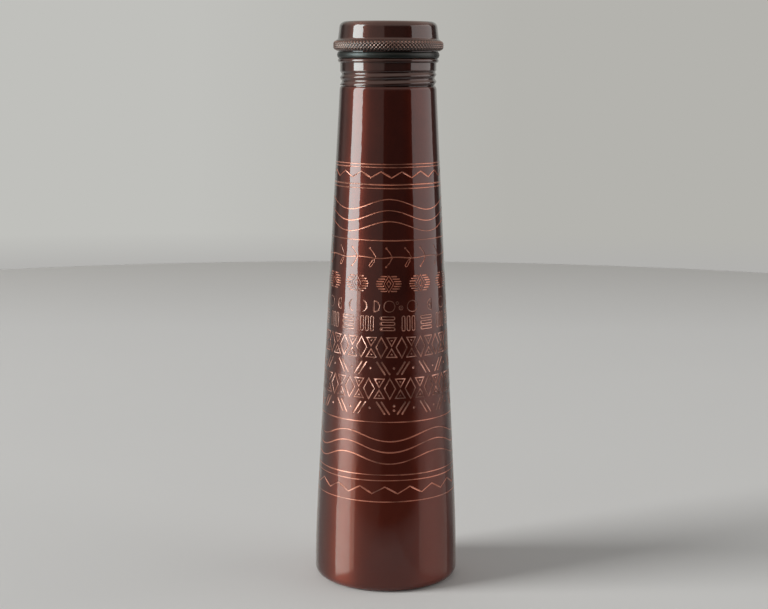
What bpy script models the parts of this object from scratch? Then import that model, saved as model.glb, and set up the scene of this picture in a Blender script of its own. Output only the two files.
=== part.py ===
"""A tall copper water bottle with a neck thread rolled into its sheet and a screw-in cap.

Metres, +Z up. The bottle stands on z = 0 with its axis on the Z axis. Every piece is turned: its
outline, in (radius, height) points, is spun about the axis. A thread is then rolled into the two
pieces that screw together.
"""

import math

import bmesh
import bpy
from mathutils import Matrix

MM = 0.001
GAP = 0.3 * MM                     # clearance between pieces that touch or are brazed together
SHEET = 0.8 * MM                   # thickness of the copper sheet

# Driving dimensions: the body
TOTAL_HEIGHT = 290.0 * MM
SHOULDER_TOP = 257.5 * MM          # where the body's wall ends and the neck begins
SHOULDER_RADIUS = 24.0 * MM
SHOULDER_DROP = 1.3 * MM           # height of the rounded shoulder
CONE_TOP_RADIUS = 24.8 * MM
CONE_SLOPE = 0.0542                # radius gained for each unit of height on the way down
BELLY_TOP = 42.0 * MM              # the cone bends into the nearly upright foot below this height
BELLY_BEND = 1.35 / 1000 / MM      # change of slope for each metre of height in that bend
FOOT_CORNER = 4.5 * MM             # outer radius of the rounded corner at the foot
FOOT_RING_INNER = 31.7 * MM        # inner radius of the flat ring that the bottle stands on
FOOT_LIP_HEIGHT = 4.0 * MM         # the sheet's edge is turned up inside the foot to this height

# Driving dimensions: the neck
NECK_RADIUS = 24.6 * MM            # plain band above the thread, and the crests of the thread
NECK_WALL = 0.9 * MM               # the sheet where the thread is rolled, a little gathered
THREAD_PITCH = 3.6 * MM
THREAD_DEPTH = 0.8 * MM            # valley to crest
THREAD_CREST_HEIGHT = 263.4 * MM   # height of a crest of the neck's thread on the +X side
NECK_THREAD_BOTTOM = 258.0 * MM
NECK_THREAD_TOP = 265.6 * MM
THREAD_RUNOUT = 1.2 * MM           # height over which a thread fades into the plain sheet
RIM_TOP = 271.5 * MM
RIM_RADIUS = 25.8 * MM             # outside of the rolled rim bead
SKIRT_BOTTOM = 251.0 * MM          # the collar's skirt is brazed inside the body down to here

# Driving dimensions: the cap
CAP_SIDE_RADIUS = 25.4 * MM        # at the lower edge, where the side flares out
CAP_TOP_RADIUS = 25.0 * MM         # just below the rounded corner
CAP_CORNER = 3.2 * MM
GASKET_BOTTOM = RIM_TOP + GAP
GASKET_THICKNESS = 2.7 * MM
GASKET_RADIUS = 26.1 * MM
PLUG_BOTTOM = 260.0 * MM
PLUG_THREAD_TOP = 266.4 * MM
PLUG_CLEARANCE = 0.35 * MM         # radial play between the plug's thread and the neck's
KNURL_RADIUS = 28.15 * MM
KNURL_BOTTOM = 275.0 * MM
KNURL_TOP = 280.8 * MM

BODY_SEGMENTS = 64
CAP_SEGMENTS = 48
THREAD_ROW = 0.6 * MM              # spacing of the rows of faces that carry a thread

COPPER_DARK = (0.090, 0.032, 0.022)
COPPER_RAW = (0.72, 0.33, 0.20)
RUBBER = (0.012, 0.018, 0.017)


def material(name, colour, metallic, roughness):
    made = bpy.data.materials.new(name)
    made.use_nodes = True
    shader = made.node_tree.nodes["Principled BSDF"]
    shader.inputs["Base Color"].default_value = (*colour, 1.0)
    shader.inputs["Metallic"].default_value = metallic
    shader.inputs["Roughness"].default_value = roughness
    made.diffuse_color = (*colour, 1.0)
    return made


def arc(centre, radius, start, end, steps, stretch=1.0):
    """Points on an arc in the (radius, height) plane, angles in degrees, 0 pointing outwards.
    stretch scales the arc's height."""
    points = []
    for step in range(steps + 1):
        angle = math.radians(start + (end - start) * step / steps)
        points.append((
            centre[0] + radius * math.cos(angle),
            centre[1] + radius * math.sin(angle) * stretch,
        ))
    return points


def rows(start, end, spacing):
    """Heights from start to end, evenly spaced by about the given distance."""
    count = max(1, round(abs(end - start) / spacing))
    return [start + (end - start) * step / count for step in range(count + 1)]


def turned(name, outline, segments, finish, closed=True, seat=0.0, shape=None):
    """Spins an outline about the Z axis. A closed outline makes a ring; an open one starts and ends on
    the axis. shape, if given, moves each vertex. The mesh is stored relative to the height seat."""
    bm = bmesh.new()
    corners = [bm.verts.new((radius, 0.0, height)) for radius, height in outline]
    pairs = list(zip(corners, corners[1:]))
    if closed:
        pairs.append((corners[-1], corners[0]))
    edges = [bm.edges.new(pair) for pair in pairs]
    bmesh.ops.spin(
        bm, geom=corners + edges, cent=(0, 0, 0), axis=(0, 0, 1), angle=math.tau, steps=segments,
        use_merge=True, use_duplicate=False,
    )
    bmesh.ops.remove_doubles(bm, verts=bm.verts, dist=0.001 * MM)
    if shape:
        for vertex in bm.verts:
            shape(vertex.co)
    bmesh.ops.recalc_face_normals(bm, faces=bm.faces)
    mesh = bpy.data.meshes.new(name)
    bm.to_mesh(mesh)
    bm.free()
    mesh.transform(Matrix.Translation((0, 0, -seat)))
    mesh.shade_smooth()
    mesh.set_sharp_from_angle(angle=math.radians(35))
    mesh.materials.append(finish)
    piece = bpy.data.objects.new(name, mesh)
    bpy.context.collection.objects.link(piece)
    return piece


def thread_roller(bottom, top, side, lead_in):
    """A function that presses a right-hand thread into both faces of a sheet between two heights, so
    that the sheet keeps its thickness. side is -1 where valleys are pressed into the plain sheet, and
    +1 where crests are pressed out of it. lead_in is the height of the fade at the lower end."""

    def roll(point):
        if not bottom <= point.z <= top:
            return
        radius = math.hypot(point.x, point.y)
        turn = math.atan2(point.y, point.x) / math.tau
        wave = math.cos(math.tau * ((point.z - THREAD_CREST_HEIGHT) / THREAD_PITCH - turn))
        fade = min(1.0, (top - point.z) / THREAD_RUNOUT)
        if lead_in:
            fade = min(fade, (point.z - bottom) / lead_in)
        pressed = radius + THREAD_DEPTH / 2 * (wave + side) * fade
        point.x *= pressed / radius
        point.y *= pressed / radius

    return roll


def wall_radius(height):
    """Outside of the body: a cone that bends upright towards the foot."""
    cone = CONE_TOP_RADIUS + CONE_SLOPE * (SHOULDER_TOP - SHOULDER_DROP - height)
    below = max(0.0, BELLY_TOP - height)
    return cone - BELLY_BEND * below * below / 2


def body_shell(finish):
    """Spun wall: shoulder, cone, rounded foot, and the edge turned up inside the foot."""
    foot_radius = wall_radius(FOOT_CORNER)
    corner_centre = (foot_radius - FOOT_CORNER, FOOT_CORNER)
    cone_top = SHOULDER_TOP - SHOULDER_DROP
    shoulder_width = CONE_TOP_RADIUS - SHOULDER_RADIUS
    heights = rows(cone_top, BELLY_TOP, 45 * MM) + rows(BELLY_TOP, FOOT_CORNER, 10 * MM)[1:]
    outer = [(SHOULDER_RADIUS - SHEET, SHOULDER_TOP)]
    outer += arc(
        (SHOULDER_RADIUS, cone_top), shoulder_width, 90, 0, 3, SHOULDER_DROP / shoulder_width
    )
    outer += [(wall_radius(height), height) for height in heights[1:]]
    outer += arc(corner_centre, FOOT_CORNER, 0, -90, 4)[1:]
    lip = [
        (FOOT_RING_INNER, 0.0),
        (FOOT_RING_INNER, FOOT_LIP_HEIGHT),
        (FOOT_RING_INNER + SHEET, FOOT_LIP_HEIGHT),
        (FOOT_RING_INNER + SHEET, SHEET * 1.5),
    ]
    inner = arc(corner_centre, FOOT_CORNER - SHEET, -90, 0, 4)
    inner += [(wall_radius(height) - SHEET, height) for height in reversed(heights[:-1])]
    return turned("body_shell", outer + lip + inner, BODY_SEGMENTS, finish)


def base_disc(finish):
    """Pressed bottom: a shallow upturned pan, domed a little, whose rim is brazed inside the foot."""
    rim = FOOT_RING_INNER - GAP
    rim_bottom, plate, dome = 0.6 * MM, 3.0 * MM, 1.2 * MM
    outline = [
        (0.0, plate + dome),
        (rim * 0.5, plate + dome * 0.75),
        (rim - 2 * SHEET, plate),
        (rim - SHEET, plate - SHEET),
        (rim - SHEET, rim_bottom),
        (rim, rim_bottom),
        (rim, plate),
        (rim - SHEET, plate + SHEET),
        (rim * 0.5, plate + SHEET + dome * 0.75),
        (0.0, plate + SHEET + dome),
    ]
    return turned("base_disc", outline, BODY_SEGMENTS, finish, closed=False)


def neck_collar(finish):
    """Neck: skirt inside the body, rolled thread, plain band and rolled rim bead."""
    skirt = SHOULDER_RADIUS - SHEET - GAP
    ledge = SHOULDER_TOP + GAP
    bore = NECK_RADIUS - SHEET
    bead_radius = 1.1 * MM
    bead_centre = (RIM_RADIUS - bead_radius, RIM_TOP - bead_radius)
    band_bottom = NECK_THREAD_TOP + 0.5 * MM
    edge = 0.4 * MM
    threaded = rows(NECK_THREAD_BOTTOM, NECK_THREAD_TOP, THREAD_ROW)
    outline = [(skirt, SKIRT_BOTTOM), (skirt, ledge)]
    outline += [(NECK_RADIUS, height) for height in threaded]
    outline += [(NECK_RADIUS, band_bottom), (NECK_RADIUS, RIM_TOP - 2 * bead_radius)]
    outline += arc(bead_centre, bead_radius, -70, 90, 5)
    outline += [(bore + edge, RIM_TOP), (bore, RIM_TOP - edge), (bore, band_bottom)]
    outline += [(NECK_RADIUS - NECK_WALL, height) for height in reversed(threaded[1:])]
    outline += [(skirt - SHEET, ledge), (skirt - SHEET, SKIRT_BOTTOM)]
    return turned(
        "neck_collar", outline, CAP_SEGMENTS, finish,
        shape=thread_roller(NECK_THREAD_BOTTOM, NECK_THREAD_TOP, -1, 0.0),
    )


def plug_crest_radius():
    """Outside of the plug's thread: the bottom of the neck's inner groove less the play."""
    return NECK_RADIUS - NECK_WALL - PLUG_CLEARANCE


def cap_plug_sleeve(finish, seat):
    """Hollow screw under the cap, with the flange that presses on the gasket."""
    outside = plug_crest_radius() - THREAD_DEPTH
    inside = outside - SHEET
    edge = 0.4 * MM
    thread_bottom = PLUG_BOTTOM + edge
    flange_bottom = GASKET_BOTTOM + GASKET_THICKNESS + GAP
    flange_radius = CAP_SIDE_RADIUS - 0.1 * MM
    threaded = rows(thread_bottom, PLUG_THREAD_TOP, THREAD_ROW)
    outline = [(inside, PLUG_BOTTOM), (outside - edge, PLUG_BOTTOM)]
    outline += [(outside, height) for height in threaded]
    outline += [(outside, flange_bottom - edge), (outside + edge, flange_bottom)]
    outline += [(flange_radius, flange_bottom), (flange_radius, flange_bottom + SHEET)]
    outline += [(inside, flange_bottom + SHEET)]
    outline += [(inside, height) for height in reversed(threaded)]
    return turned(
        "cap_plug_sleeve", outline, CAP_SEGMENTS, finish, seat=seat,
        shape=thread_roller(thread_bottom, PLUG_THREAD_TOP, 1, THREAD_RUNOUT),
    )


def cap_plug_disc(finish, seat):
    """Disc that closes the lower end of the plug, slightly dished."""
    radius = plug_crest_radius() - THREAD_DEPTH - SHEET - GAP
    dish = 0.4 * MM
    outline = [
        (0.0, PLUG_BOTTOM + dish),
        (radius * 0.8, PLUG_BOTTOM + dish),
        (radius, PLUG_BOTTOM),
        (radius, PLUG_BOTTOM + SHEET),
        (radius * 0.8, PLUG_BOTTOM + dish + SHEET),
        (0.0, PLUG_BOTTOM + dish + SHEET),
    ]
    return turned("cap_plug_disc", outline, CAP_SEGMENTS, finish, closed=False, seat=seat)


def cap_shell(finish, seat):
    """Spun cup: flat top, rounded corner, side that flares slightly towards the open end."""
    bottom = GASKET_BOTTOM + GASKET_THICKNESS + 2 * GAP + SHEET
    corner = (CAP_TOP_RADIUS - CAP_CORNER, TOTAL_HEIGHT - CAP_CORNER)
    flare_bottom = TOTAL_HEIGHT - 8 * MM
    outline = [(0.0, TOTAL_HEIGHT)]
    outline += arc(corner, CAP_CORNER, 90, 0, 5)
    outline += [(CAP_SIDE_RADIUS, flare_bottom), (CAP_SIDE_RADIUS, bottom)]
    outline += [(CAP_SIDE_RADIUS - SHEET, bottom), (CAP_SIDE_RADIUS - SHEET, flare_bottom)]
    outline += arc(corner, CAP_CORNER - SHEET, 0, 90, 5)
    outline += [(0.0, TOTAL_HEIGHT - SHEET)]
    return turned("cap_shell", outline, CAP_SEGMENTS, finish, closed=False, seat=seat)


def cap_knurled_ring(finish, seat):
    """Grip ring round the lower edge of the cap, with rounded shoulders."""
    bore = CAP_SIDE_RADIUS + GAP
    middle = (KNURL_BOTTOM + KNURL_TOP) / 2
    half_flat = 1.2 * MM
    rounding = (KNURL_TOP - KNURL_BOTTOM) / 2 - half_flat
    squash = 1.25 * MM / rounding
    outline = [(bore, KNURL_BOTTOM)]
    for side, start, end in ((-1, -90, 0), (1, 0, 90)):
        for radius, height in arc((0.0, 0.0), rounding, start, end, 4):
            outline.append((
                KNURL_RADIUS - 1.25 * MM + radius * squash,
                middle + side * half_flat + height,
            ))
    outline.append((bore, KNURL_TOP))
    return turned("cap_knurled_ring", outline, BODY_SEGMENTS, finish, seat=seat)


def cap_gasket(finish, seat):
    """Rubber ring round the plug, between the flange and the rim bead."""
    inner = plug_crest_radius() + 0.1 * MM
    rounding = 0.7 * MM
    top = GASKET_BOTTOM + GASKET_THICKNESS
    outline = [(inner, GASKET_BOTTOM)]
    outline += arc((GASKET_RADIUS - rounding, GASKET_BOTTOM + rounding), rounding, -90, 0, 3)
    outline += arc((GASKET_RADIUS - rounding, top - rounding), rounding, 0, 90, 3)
    outline += [(inner, top)]
    return turned("cap_gasket", outline, CAP_SEGMENTS, finish, seat=seat)


def main():
    for leftover in list(bpy.data.objects):
        bpy.data.objects.remove(leftover)

    body_shell(material("copper_body", COPPER_DARK, 1.0, 0.32))
    neck_collar(material("copper_neck", COPPER_DARK, 1.0, 0.25))
    base_disc(material("copper_base", COPPER_RAW, 1.0, 0.35))

    cap_axis = bpy.data.objects.new("cap_axis", None)
    cap_axis.location = (0.0, 0.0, RIM_TOP)
    bpy.context.collection.objects.link(cap_axis)
    cap_pieces = [
        cap_shell(material("copper_cap", COPPER_DARK, 1.0, 0.25), RIM_TOP),
        cap_knurled_ring(material("copper_knurl", COPPER_DARK, 1.0, 0.4), RIM_TOP),
        cap_plug_sleeve(material("copper_plug", COPPER_RAW, 1.0, 0.3), RIM_TOP),
        cap_plug_disc(material("copper_plug_disc", COPPER_RAW, 1.0, 0.3), RIM_TOP),
        cap_gasket(material("gasket_rubber", RUBBER, 0.0, 0.55), RIM_TOP),
    ]
    for piece in cap_pieces:
        piece.parent = cap_axis


main()
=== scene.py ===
"""The looks of the copper water bottle: etched dark copper under clear lacquer, bright copper in the
etched lines, a diamond-knurled grip ring and a rubber gasket.

Every visible piece replaces its CAD node with a finer mesh of the same outline. Heights and radii are
in metres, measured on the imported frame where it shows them. The ornament is drawn in millimetres on the
unrolled wall.
"""

import math

import bmesh
import bpy
import numpy as np
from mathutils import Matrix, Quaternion, Vector
from mathutils.geometry import delaunay_2d_cdt


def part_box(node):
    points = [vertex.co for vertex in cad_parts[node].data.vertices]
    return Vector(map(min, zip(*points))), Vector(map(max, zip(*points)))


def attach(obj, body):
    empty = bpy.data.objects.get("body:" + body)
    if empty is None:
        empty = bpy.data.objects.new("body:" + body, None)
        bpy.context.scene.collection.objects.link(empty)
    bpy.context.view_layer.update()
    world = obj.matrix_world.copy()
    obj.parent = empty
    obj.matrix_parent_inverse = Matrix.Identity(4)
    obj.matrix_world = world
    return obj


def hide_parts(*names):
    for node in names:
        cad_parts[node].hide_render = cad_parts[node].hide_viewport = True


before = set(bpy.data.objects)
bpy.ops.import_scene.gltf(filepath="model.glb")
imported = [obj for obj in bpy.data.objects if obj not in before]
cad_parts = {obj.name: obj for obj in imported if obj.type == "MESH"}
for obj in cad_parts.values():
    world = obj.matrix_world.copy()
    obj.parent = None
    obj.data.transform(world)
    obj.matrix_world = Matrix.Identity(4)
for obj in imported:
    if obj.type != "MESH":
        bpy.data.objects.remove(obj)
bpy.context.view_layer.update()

MM = 0.001
SHEET = 0.8 * MM                   # thickness of the copper sheet
COLUMNS = 144                      # faces round the body
FINE_COLUMNS = 216                 # faces round the neck and the cap


# ==== Sizes ====

def cad_outline(node):
    """Heights and outer radii of a turned CAD node, lowest first."""
    points = np.array([vertex.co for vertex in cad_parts[node].data.vertices])
    heights = np.round(points[:, 2], 6)
    radii = np.hypot(points[:, 0], points[:, 1])
    levels = np.unique(heights)
    return levels, np.array([radii[heights == level].max() for level in levels])


def top_of(node):
    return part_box(node)[1].z


def bottom_of(node):
    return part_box(node)[0].z


def radius_of(node):
    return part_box(node)[1].x


# The body
BODY_LEVELS, BODY_RADII = cad_outline("body_shell")
SHOULDER_TOP = top_of("body_shell")
CONE_TOP = SHOULDER_TOP - 1.3 * MM    # where the CAD's shoulder starts to round off
SHOULDER_ROUNDING = 2.6 * MM       # height of the rounded edge at the top of the body
BELLY_TOP = 42.0 * MM              # the cone bends into the upright foot below this height
FOOT_CORNER = 4.5 * MM
FOOT_RING_INNER = 31.7 * MM
FOOT_LIP_HEIGHT = 4.0 * MM
ETCH_TOP = 221.0 * MM              # all of the ornament lies between these heights
ETCH_BOTTOM = 46.5 * MM
WALL_STEP = 2.6 * MM               # height of the wall's faces
GROOVE_DEPTH = 0.13 * MM
GROOVE_ROUNDING = 0.55             # how far the groove floors turn up at their banks
FOOT_RADIUS = float(np.interp(FOOT_CORNER, BODY_LEVELS, BODY_RADII))
CONE_TOP_RADIUS = float(np.interp(CONE_TOP, BODY_LEVELS, BODY_RADII))
BELLY_RADIUS = float(np.interp(BELLY_TOP, BODY_LEVELS, BODY_RADII))
CONE_SLOPE = (BELLY_RADIUS - CONE_TOP_RADIUS) / (CONE_TOP - BELLY_TOP)
BELLY_DROP = BELLY_TOP - FOOT_CORNER
BELLY_BEND = 2 * (BELLY_RADIUS + CONE_SLOPE * BELLY_DROP - FOOT_RADIUS) / BELLY_DROP ** 2
SHOULDER_RADIUS = CONE_TOP_RADIUS - 0.8 * MM

# The neck, and the plug that screws into it
NECK_RADIUS = 24.6 * MM
NECK_WALL = 0.9 * MM
NECK_BOTTOM = SHOULDER_TOP + 0.3 * MM
SKIRT_RADIUS = SHOULDER_RADIUS - SHEET - 0.3 * MM
THREAD_PITCH = 3.6 * MM
THREAD_DEPTH = 0.8 * MM
THREAD_CREST_HEIGHT = 263.4 * MM   # height of a crest of the neck's thread on the +X side
THREAD_RUNOUT = 1.2 * MM           # the thread fades out over this height
NECK_THREAD_TOP = 265.6 * MM
RIM_TOP = top_of("neck_collar")
RIM_RADIUS = radius_of("neck_collar")
RIM_BEAD = 1.1 * MM
PLUG_THREAD_TOP = 266.4 * MM
PLUG_BOTTOM = bottom_of("cap_plug_disc")
PLUG_RADIUS = NECK_RADIUS - NECK_WALL - 0.35 * MM - THREAD_DEPTH
FLANGE_TOP = top_of("cap_plug_sleeve")
FLANGE_RADIUS = radius_of("cap_plug_sleeve")

# The cap
CAP_TOP = top_of("cap_shell")
CAP_BOTTOM = bottom_of("cap_shell")
CAP_RADIUS = radius_of("cap_shell")
CAP_CORNER = 3.2 * MM
CAP_FLARE = 0.4 * MM               # the side leans out by this much on its way down
CAP_HOLLOW = 1.6 * MM              # radius of the hollow corner between the side and the grip ring

# The grip ring and the gasket
KNURL_BOTTOM = bottom_of("cap_knurled_ring")
KNURL_TOP = top_of("cap_knurled_ring")
KNURL_RADIUS = radius_of("cap_knurled_ring")
KNURL_TEETH = 90                   # diamonds round the ring
KNURL_ROWS = 6                     # half-diamonds across it
KNURL_STEPS = 8                    # faces across one diamond
KNURL_DEPTH = 0.45 * MM
KNURL_LOW, KNURL_HIGH = 0.05, 0.95    # where the knurling begins and ends across the ring
KNURL_HALF_FLAT = 1.2 * MM         # half the height of the ring's upright middle
KNURL_ROUNDING = 2.3 * MM          # how far the ring's edges draw in
EDGE_POWER = 1.5                   # 1 rounds the edges as an ellipse, 2 cuts them off straight
EDGE_LENGTH = 0.86                 # length of a rounded edge beside a quarter circle's
GASKET_SQUEEZE = 0.25 * MM         # the rubber fills the play above and below it


def wall_radius(height):
    """Outside of the body at a height or an array of heights."""
    below = np.maximum(0.0, BELLY_TOP - height)
    return CONE_TOP_RADIUS + CONE_SLOPE * (CONE_TOP - height) - BELLY_BEND * below ** 2 / 2


def wall_tilt(height):
    """How much the wall leans back from upright, in radians."""
    below = max(0.0, BELLY_TOP - height)
    return math.atan(CONE_SLOPE - BELLY_BEND * below)


# ==== Ornament: the motifs ====
# They are drawn on the unrolled wall, (along, up) in millimetres from the motif's centre. A shape is a
# pair: its outline, and the outline of the hole in it or None.

LINE = 0.42                        # width of a thin etched line
BOLD = 0.58                        # width of a motif's line
LINE_END = 0.42                    # how far a line's end reaches past its last point, in its widths
MITRE_LIMIT = 0.45                 # keeps sharp corners from reaching too far out


def arc(centre, radius, start, end, steps, width=1.0, height=1.0):
    """Points on an arc from one angle to another, in degrees, its width or its height scaled."""
    points = []
    for step in range(steps + 1):
        angle = math.radians(start + (end - start) * step / steps)
        x, y = radius * math.cos(angle) * width, radius * math.sin(angle) * height
        points.append((centre[0] + x, centre[1] + y))
    return points


def circle(radius, centre=(0.0, 0.0), steps=28):
    return arc(centre, radius, 0, 360, steps)[:-1]


def offset(points, distance, closed):
    """The points moved sideways, to the left of the way they run, with mitred corners."""
    moved = []
    count = len(points)
    for index, point in enumerate(points):
        before = points[index - 1] if closed or index > 0 else None
        after = points[(index + 1) % count] if closed or index < count - 1 else None
        normals = []
        for a, b in ((before, point), (point, after)):
            if a is None or b is None:
                continue
            along = Vector(b) - Vector(a)
            normals.append(Vector((-along.y, along.x)).normalized())
        mean = sum(normals, Vector((0.0, 0.0))).normalized()
        reach = distance / max(MITRE_LIMIT, mean.dot(normals[0]))
        moved.append((point[0] + mean.x * reach, point[1] + mean.y * reach))
    return moved


def stroke(points, width, closed=False):
    """A line of this width along the points. An open one gets pointed ends."""
    left = offset(points, width / 2, closed)
    right = offset(points, -width / 2, closed)
    if closed:
        areas = [abs(signed_area(side)) for side in (left, right)]
        return (left, right) if areas[0] > areas[1] else (right, left)
    ends = []
    for tip, neighbour in ((points[-1], points[-2]), (points[0], points[1])):
        along = (Vector(tip) - Vector(neighbour)).normalized() * width * LINE_END
        ends.append((tip[0] + along.x, tip[1] + along.y))
    return solid(left + [ends[0]] + right[::-1] + [ends[1]])


def solid(points):
    """A shape without a hole."""
    return (points, None)


def signed_area(points):
    """Area of an outline, above 0 if it runs anticlockwise."""
    area = 0.0
    for (x0, y0), (x1, y1) in zip(points, points[1:] + points[:1]):
        area += x0 * y1 - x1 * y0
    return area / 2


def redrawn(shapes, place):
    """The shapes with every point moved to where place(x, y) says."""
    def moved(points):
        return None if points is None else [place(x, y) for x, y in points]
    return [(moved(outline), moved(hole)) for outline, hole in shapes]


def mirrored(shapes):
    return redrawn(shapes, lambda x, y: (-x, y))


def stadium(length, width, upright):
    """Outline of a long loop with round ends."""
    half = (length - width) / 2
    points = arc((half, 0), width / 2, -90, 90, 6) + arc((-half, 0), width / 2, 90, 270, 6)
    return [(y, x) for x, y in points] if upright else points


def twig_leaves(hollow):
    """Two leaves that spread to the left of a joint on the stem. The lower may be a hollow loop."""
    shapes = []
    for side in (1, -1):
        tip = Vector((-3.0, 4.7 * side))
        if hollow and side < 0:
            loop = stadium(tip.length - 1.6, 1.2, False)
            middle = tip * 0.62
            lean = math.atan2(tip.y, tip.x)
            turned_loop = [(
                middle.x + x * math.cos(lean) - y * math.sin(lean),
                middle.y + x * math.sin(lean) + y * math.cos(lean),
            ) for x, y in loop]
            shapes.append(stroke(turned_loop, LINE * 0.9, closed=True))
            shapes.append(stroke([(0.2, -0.2), tuple(tip * 0.28)], BOLD * 0.8))
        else:
            bend = (tip.x * 0.38, tip.y * 0.52)
            shapes.append(stroke([(0.2, 0.0), bend, tuple(tip)], BOLD * 0.8))
            shapes.append(solid(circle(0.52, tuple(tip), 12)))
    return shapes


def medallion():
    """A hexagon of stripes round a diamond with a smaller diamond in it."""
    shapes = []
    half_width, rows, pitch = 6.4, 3, 1.24
    diamond_width, diamond_height = 2.5, 4.1
    for row in range(-rows, rows + 1):
        up = row * pitch
        reach = half_width - 0.27 * row ** 2
        start = max(0.0, diamond_width * (1 - abs(up) / diamond_height)) + 1.0
        for side in (-1, 1):
            ends = [(side * start, up), (side * (reach - 1.0), up), (side * reach, up)]
            shapes.append(stroke(ends, 0.62))
    for share in (1.0, 0.42):
        width, height = diamond_width * share, diamond_height * share
        corners = [(width, 0), (0, height), (-width, 0), (0, -height)]
        shapes.append(stroke(corners, LINE * 0.9, closed=True))
    return shapes


def straight_bar(start, end, width):
    """Outline of a straight bar."""
    return stroke([start, end], width)[0]


def moon_ring():
    return [stroke(circle(2.8), LINE * 0.95, closed=True)]


def moon_half(budded):
    """A half-disc outline, with a small bud of light inside or else its straight side drawn thicker."""
    edge = stroke(arc((-0.8, 0), 2.75, -90, 90, 18, width=0.95), BOLD, closed=True)
    bud, bar = circle(0.7, (0.25, 0), 12), straight_bar((-0.95, -2.4), (-0.95, 2.4), 0.75)
    return [edge, solid(bud if budded else bar)]


def moon_crescent():
    """A lune, thickest in the middle."""
    return [solid(arc((-1.9, 0), 3.15, -78, 78, 18) + arc((-3.15, 0), 3.4, 62, -62, 18))]


def moon_dots():
    """A small ring with a dot in it, and a smaller one above."""
    low, high = (0.9, -0.75), (-1.0, 1.75)
    rings = [
        stroke(circle(1.0, low, 14), LINE * 0.8, closed=True),
        stroke(circle(0.65, high, 12), LINE * 0.7, closed=True),
    ]
    return rings + [solid(circle(0.3, low, 8))]


def moon_phases():
    """The moon's phases with their places round the row, in degrees."""
    ring, dots, half, budded = moon_ring(), moon_dots(), moon_half(False), moon_half(True)
    waxing, waning = moon_crescent(), mirrored(moon_crescent())
    return [
        (-67.0, ring), (-51.0, mirrored(budded)), (-37.0, waning), (-21.6, waxing), (-11.0, half),
        (2.0, ring), (11.5, dots), (24.7, ring), (45.5, mirrored(budded)), (64.0, ring),
        (82.0, mirrored(half)), (97.0, waning), (112.0, waxing), (124.0, half), (138.0, ring),
        (148.0, dots), (161.0, ring), (174.0, mirrored(budded)), (-166.0, waning), (-151.0, waxing),
        (-140.0, half), (-126.0, ring), (-112.0, dots), (-99.0, ring), (-83.0, mirrored(half)),
    ]


def three_loops(upright):
    """Three long loops side by side. Lying ones have a dot at their left end."""
    shapes = []
    loop = stroke(stadium(7.5, 1.5, upright), LINE * 1.15, closed=True)
    for place in (-2.7, 0.0, 2.7):
        along, up = (place, 0.0) if upright else (0.0, place)
        shapes += redrawn([loop], lambda x, y: (x + along, y + up))
        if not upright:
            shapes.append(solid(circle(0.62, (-3.35, place), 12)))
    return shapes


def hourglass():
    """Two triangles tip to tip, each with a small solid one inside."""
    shapes = []
    for side in (1, -1):
        corners = [(2.55, 4.95 * side), (-2.55, 4.95 * side), (0.0, 0.7 * side)]
        seed = [(0.65, 3.85 * side), (-0.65, 3.85 * side), (0.0, 2.9 * side)]
        shapes += [stroke(corners, LINE * 1.3, closed=True), solid(seed)]
    return shapes


def rhomb():
    return [stroke([(2.85, 0), (0, 5.2), (-2.85, 0), (0, -5.2)], LINE * 1.35, closed=True)]


def slashes(lean):
    """Two bars side by side that lean to the right (1) or to the left (-1)."""
    return [
        stroke([(place - 2.1 * lean, -3.1), (place + 2.1 * lean, 3.1)], 0.86)
        for place in (-1.25, 1.25)
    ]


def dot(count=1):
    """One dot, or two, one above the other."""
    places = (0.0,) if count == 1 else (-1.15, 1.15)
    return [solid(circle(0.62, (0.0, up), 14)) for up in places]


# ==== Ornament: the bands round the wall ====
# Places along a band are angles in degrees, 0 facing the front (-Y).

OVERHANG = 14.0                    # degrees drawn past the seam at the back, then cut off
RUN_STEP = 2.5                     # degrees between the points of a line round the wall
LEAF_ROW, MEDALLION_ROW, MOON_ROW, LOOP_ROW = 172.8, 159.6, 148.2, 139.5    # heights
HOURGLASSES = 19                   # in each row, with as many rhombs between them
HOURGLASS_ROWS = ((127.4, 4.2), (106.4, -6.8))    # height, and angle of an hourglass
SLASH_ROWS = ((116.8, 1), (96.4, 2))              # height, and dots in every third gap


def band_scale(height):
    """Degrees along the wall for one millimetre at a height in millimetres."""
    return math.degrees(1.0 / (float(wall_radius(height * MM)) / MM))


def around(motif, height, angle):
    """A motif placed on the wall, as outlines in (degrees, millimetres)."""
    scale = band_scale(height)
    return redrawn(motif, lambda x, y: (angle + x * scale, height + y))


def repeated(motif, height, count, first):
    """A motif repeated evenly all the way round, with the copies that cross the seam."""
    shapes = []
    step = 360.0 / count
    index = math.ceil((-180 - OVERHANG - first) / step)
    while first + index * step < 180 + OVERHANG:
        shapes += around(motif, height, first + index * step)
        index += 1
    return shapes


def running(height_at, width):
    """A line all the way round whose height is a function of the angle. It swells here and there, as
    lines cut by hand do."""
    count = round((360 + 2 * OVERHANG) / RUN_STEP)
    scale = band_scale(height_at(0.0))
    middle = []
    for index in range(count + 1):
        angle = -180 - OVERHANG + (360 + 2 * OVERHANG) * index / count
        middle.append((angle / scale, height_at(angle)))
    upper = offset(middle, width / 2, False)
    lower = offset(middle, -width / 2, False)
    for index, (x, y) in enumerate(lower):
        swell = 0.5 + 0.5 * math.sin(math.radians(5 * x * scale + 40 * height_at(0.0)))
        lower[index] = (x, y - width * 0.35 * swell)
    return redrawn([solid(upper + lower[::-1])], lambda x, y: (x * scale, y))


def ring_line(height, width=LINE):
    return running(lambda angle: height, width)


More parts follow.
